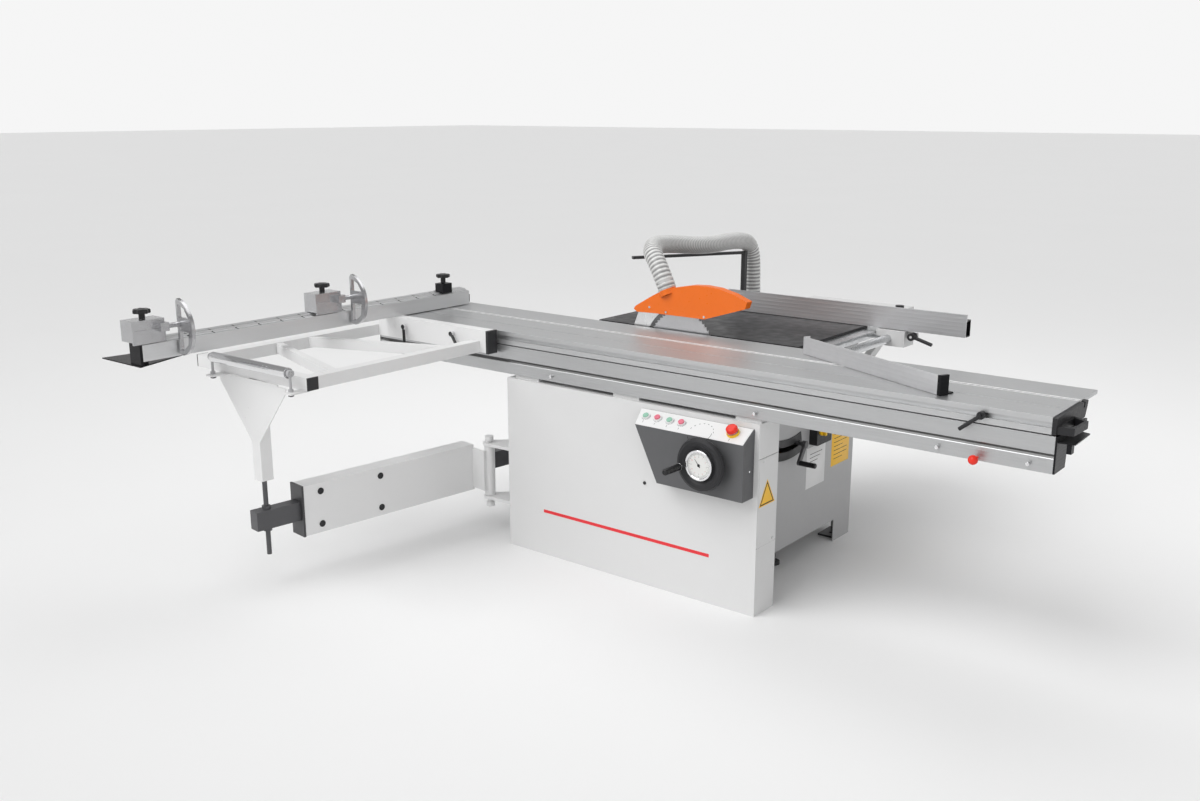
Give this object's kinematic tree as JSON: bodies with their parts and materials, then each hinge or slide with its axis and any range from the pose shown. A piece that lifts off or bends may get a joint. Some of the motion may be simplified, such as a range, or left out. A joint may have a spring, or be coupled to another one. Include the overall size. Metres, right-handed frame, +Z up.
{
  "type": "sliding table panel saw",
  "caption": "Sliding table panel saw with outrigger, swing arm, long stop fence, rip fence, tilting blade, orange blade guard, dust hose, handwheel and button panel.",
  "frame": {"origin": "on the floor, at the centre of the four floor fixing holes", "axes": "+Z is up, +X runs along the sliding table towards the end with the push handle, +Y runs from the sliding table to the rip fence"},
  "size_m": [3.006, 2.813, 1.2291],
  "materials": {
    "cabinet_paint": "satin powder coat",
    "side_paint": "satin powder coat",
    "dark_steel": "satin dark grey paint",
    "control_grey": "fine textured powder coat",
    "panel_white": "satin printed plate",
    "button_green": "gloss",
    "button_red": "gloss",
    "estop_red": "gloss",
    "black_plastic": "matte moulded",
    "chrome_steel": "polished",
    "black_paint": "satin black paint",
    "switch_yellow": "gloss",
    "black_cast": "ground and blackened",
    "light_paint": "satin paint",
    "aluminium": "anodised extrusion",
    "cast_aluminium": "polished casting",
    "cast_iron": "rough casting",
    "blade_steel": "ground",
    "steel": "bright drawn",
    "light_steel": "satin",
    "motor_paint": "semi-gloss paint",
    "guard_orange": "gloss moulded",
    "hose_plastic": "ribbed translucent",
    "knob_red": "gloss ball",
    "white_paint": "gloss powder coat"
  },
  "bodies": {
    "machine_base": {"front_cabinet": "cabinet_paint", "side_cover": "side_paint", "rear_cabinet": "side_paint", "base_feet": "dark_steel", "control_box": "control_grey", "button_plate": "panel_white", "tilt_shield": "black_paint", "main_switch_plate": "black_plastic", "main_table": "black_cast", "extension_table": "light_paint", "beam": "aluminium", "trunnion_brackets": "cast_iron", "dust_hose": "hose_plastic", "hose_post": "black_paint", "rip_rails": "steel", "arm_bracket": "white_paint"},
    "start_main": {"button_start_main": "button_green"},
    "stop_main": {"button_stop_main": "button_red"},
    "start_scoring": {"button_start_scoring": "button_green"},
    "stop_scoring": {"button_stop_scoring": "button_red"},
    "emergency_stop": {"estop_button": "estop_red"},
    "main_switch": {"main_switch_knob": "switch_yellow"},
    "tilt_wheel": {"handwheel": "black_plastic", "tilt_shaft": "chrome_steel"},
    "wheel_handle": {"wheel_grip": "black_plastic"},
    "tilt_unit": {"tilt_frame": "cast_iron"},
    "rise_crank": {"crank": "dark_steel"},
    "crank_handle": {"crank_grip": "black_plastic"},
    "saw_unit": {"saw_carriage": "cast_iron", "saw_motor": "motor_paint", "riving_knife": "light_steel", "blade_guard": "guard_orange"},
    "saw_spindle": {"arbor": "steel", "saw_blade": "blade_steel"},
    "scoring_spindle": {"scoring_blade": "blade_steel"},
    "table_carriage": {"carriage": "aluminium", "push_handle": "black_plastic", "outrigger": "white_paint", "outrigger_leg": "white_paint"},
    "cage": {"ball_cage": "black_plastic"},
    "side_lever": {"slot_lever": "black_plastic"},
    "beam_lock": {"lock_knob": "knob_red"},
    "short_fence": {"angled_fence": "aluminium"},
    "clamp_a": {"clamp_lever_a": "black_plastic"},
    "clamp_b": {"clamp_lever_b": "black_plastic"},
    "support_roller": {"roller": "chrome_steel"},
    "arm": {"swing_arm": "white_paint"},
    "arm_extension": {"telescopic_arm": "dark_steel"},
    "long_fence": {"crosscut_fence": "aluminium"},
    "long_fence_knob": {"fence_knob": "black_plastic"},
    "stop_a": {"stop_carrier_a": "cast_aluminium"},
    "flag_a": {"stop_flag_a": "cast_aluminium"},
    "knob_a": {"stop_knob_a": "black_plastic"},
    "stop_b": {"stop_carrier_b": "cast_aluminium"},
    "flag_b": {"stop_flag_b": "cast_aluminium"},
    "knob_b": {"stop_knob_b": "black_plastic"},
    "rip_carriage": {"rip_casting": "light_paint"},
    "rip_profile": {"rip_fence": "aluminium"},
    "rip_clamp_knob": {"rip_knob": "black_plastic"},
    "rip_clamp_lever": {"rip_lever": "black_plastic"}
  },
  "joints": [
    {"name": "press_start_main", "type": "slide", "parent": "machine_base", "child": "start_main", "axis": [0, 0.5234, -0.8521], "range_m": [0, 0.004], "stiffness_N_per_m": 900},
    {"name": "press_stop_main", "type": "slide", "parent": "machine_base", "child": "stop_main", "axis": [0, 0.5234, -0.8521], "range_m": [0, 0.004], "stiffness_N_per_m": 900},
    {"name": "press_start_scoring", "type": "slide", "parent": "machine_base", "child": "start_scoring", "axis": [0, 0.5234, -0.8521], "range_m": [0, 0.004], "stiffness_N_per_m": 900},
    {"name": "press_stop_scoring", "type": "slide", "parent": "machine_base", "child": "stop_scoring", "axis": [0, 0.5234, -0.8521], "range_m": [0, 0.004], "stiffness_N_per_m": 900},
    {"name": "press_emergency_stop", "type": "slide", "parent": "machine_base", "child": "emergency_stop", "axis": [0, 0.5234, -0.8521], "range_m": [0, 0.005]},
    {"name": "main_switch_turn", "type": "hinge", "parent": "machine_base", "child": "main_switch", "pos_m": [0.5125, 0.152, 0.528], "axis": [1, 0, 0], "range_deg": [0, 90]},
    {"name": "tilt_wheel_turn", "type": "hinge", "parent": "machine_base", "child": "tilt_wheel", "pos_m": [0.4475, -0.49, 0.553], "axis": [0, 1, 0], "range_deg": [0, 5401]},
    {"name": "wheel_handle_spin", "type": "hinge", "parent": "tilt_wheel", "child": "wheel_handle", "pos_m": [0.37316, -0.64, 0.5372], "axis": [0, 1, 0], "continuous": true},
    {"name": "blade_tilt", "type": "hinge", "parent": "machine_base", "child": "tilt_unit", "pos_m": [0.0125, -0.0396, 0.88], "axis": [-1, 0, 0], "range_deg": [0, 45], "deforming": ["dust_hose"]},
    {"name": "blade_rise", "type": "slide", "parent": "tilt_unit", "child": "saw_unit", "axis": [0, 0, 1], "range_m": [-0.038, 0]},
    {"name": "rise_crank_turn", "type": "hinge", "parent": "tilt_unit", "child": "rise_crank", "pos_m": [0.5025, 0.02477, 0.49535], "axis": [1, 0, 0], "range_deg": [-3601, 0]},
    {"name": "crank_handle_spin", "type": "hinge", "parent": "rise_crank", "child": "crank_handle", "pos_m": [0.5525, -0.01723, 0.43235], "axis": [1, 0, 0], "continuous": true},
    {"name": "saw_spindle_spin", "type": "hinge", "parent": "saw_unit", "child": "saw_spindle", "pos_m": [-0.0235, -0.038, 0.8035], "axis": [0, 1, 0], "continuous": true},
    {"name": "scoring_spindle_spin", "type": "hinge", "parent": "tilt_unit", "child": "scoring_spindle", "pos_m": [0.2125, -0.038, 0.812], "axis": [0, 1, 0], "continuous": true},
    {"name": "table_slide", "type": "slide", "parent": "machine_base", "child": "table_carriage", "axis": [1, 0, 0], "range_m": [-1.25, 1.25]},
    {"name": "cage_slide", "type": "slide", "parent": "machine_base", "child": "cage", "axis": [1, 0, 0], "range_m": [-0.626, 0.626]},
    {"name": "side_lever_turn", "type": "hinge", "parent": "table_carriage", "child": "side_lever", "pos_m": [1.3605, -0.49, 0.855], "axis": [0, 1, 0], "range_deg": [-60, 30]},
    {"name": "beam_lock_pull", "type": "slide", "parent": "machine_base", "child": "beam_lock", "axis": [0, -1, 0], "range_m": [0, 0.012], "stiffness_N_per_m": 1500},
    {"name": "short_fence_slide", "type": "slide", "parent": "table_carriage", "child": "short_fence", "axis": [1, 0, 0], "range_m": [-0.8, 0.25]},
    {"name": "clamp_a_turn", "type": "hinge", "parent": "table_carriage", "child": "clamp_a", "pos_m": [-1.0735, -0.54, 0.85], "axis": [0, 1, 0], "range_deg": [-30, 60]},
    {"name": "clamp_b_turn", "type": "hinge", "parent": "table_carriage", "child": "clamp_b", "pos_m": [-0.7925, -0.54, 0.853], "axis": [0, 1, 0], "range_deg": [-20, 60]},
    {"name": "roller_spin", "type": "hinge", "parent": "table_carriage", "child": "support_roller", "pos_m": [-0.8875, -1.422, 0.86], "axis": [1, 0, 0], "continuous": true},
    {"name": "arm_swing", "type": "hinge", "parent": "machine_base", "child": "arm", "pos_m": [-0.7235, -0.414, 0.266], "axis": [0, 0, 1], "range_deg": [-58.9, 58.9]},
    {"name": "arm_extend", "type": "slide", "parent": "arm", "child": "arm_extension", "axis": [-0.1227, -0.9924, 0], "range_m": [0, 0.42]},
    {"name": "long_fence_swivel", "type": "hinge", "parent": "table_carriage", "child": "long_fence", "pos_m": [-1.1635, -0.225, 0.9], "axis": [0, 0, 1], "range_deg": [-45, 0]},
    {"name": "long_fence_knob_turn", "type": "hinge", "parent": "long_fence", "child": "long_fence_knob", "pos_m": [-1.1635, -0.225, 1], "axis": [0, 0, 1], "range_deg": [0, 360]},
    {"name": "stop_a_slide", "type": "slide", "parent": "long_fence", "child": "stop_a", "axis": [0, 1, 0], "range_m": [0, 0.5]},
    {"name": "stop_b_slide", "type": "slide", "parent": "long_fence", "child": "stop_b", "axis": [0, 1, 0], "range_m": [-0.03, 0.42]},
    {"name": "flag_a_flip", "type": "hinge", "parent": "stop_a", "child": "flag_a", "pos_m": [-1.1125, -1.54, 1], "axis": [0, -1, 0], "range_deg": [0, 90]},
    {"name": "flag_b_flip", "type": "hinge", "parent": "stop_b", "child": "flag_b", "pos_m": [-1.1125, -0.77, 1], "axis": [0, -1, 0], "range_deg": [0, 90]},
    {"name": "knob_a_turn", "type": "hinge", "parent": "stop_a", "child": "knob_a", "pos_m": [-1.1635, -1.661, 1.04], "axis": [0, 0, 1], "range_deg": [0, 360]},
    {"name": "knob_b_turn", "type": "hinge", "parent": "stop_b", "child": "knob_b", "pos_m": [-1.1635, -0.885, 1.04], "axis": [0, 0, 1], "range_deg": [0, 360]},
    {"name": "rip_slide", "type": "slide", "parent": "machine_base", "child": "rip_carriage", "axis": [0, 1, 0], "range_m": [-0.43, 0.45]},
    {"name": "rip_profile_slide", "type": "slide", "parent": "rip_carriage", "child": "rip_profile", "axis": [1, 0, 0], "range_m": [0, 0.4]},
    {"name": "rip_knob_turn", "type": "hinge", "parent": "rip_carriage", "child": "rip_clamp_knob", "pos_m": [0.6125, 0.5705, 0.95], "axis": [0, 0, 1], "range_deg": [0, 360]},
    {"name": "rip_lever_turn", "type": "hinge", "parent": "rip_carriage", "child": "rip_clamp_lever", "pos_m": [0.6985, 0.51, 0.86], "axis": [0, 1, 0], "range_deg": [0, 75]}
  ],
  "couplings": [
    {"joint": "tilt_wheel_turn", "follows": "blade_tilt", "ratio": 120},
    {"joint": "rise_crank_turn", "follows": "blade_rise", "rad_per_m": 1653},
    {"joint": "cage_slide", "follows": "table_slide", "ratio": 0.5},
    {"joint": "arm_swing", "follows": "table_slide", "rad_per_m": 0.8196}
  ]
}
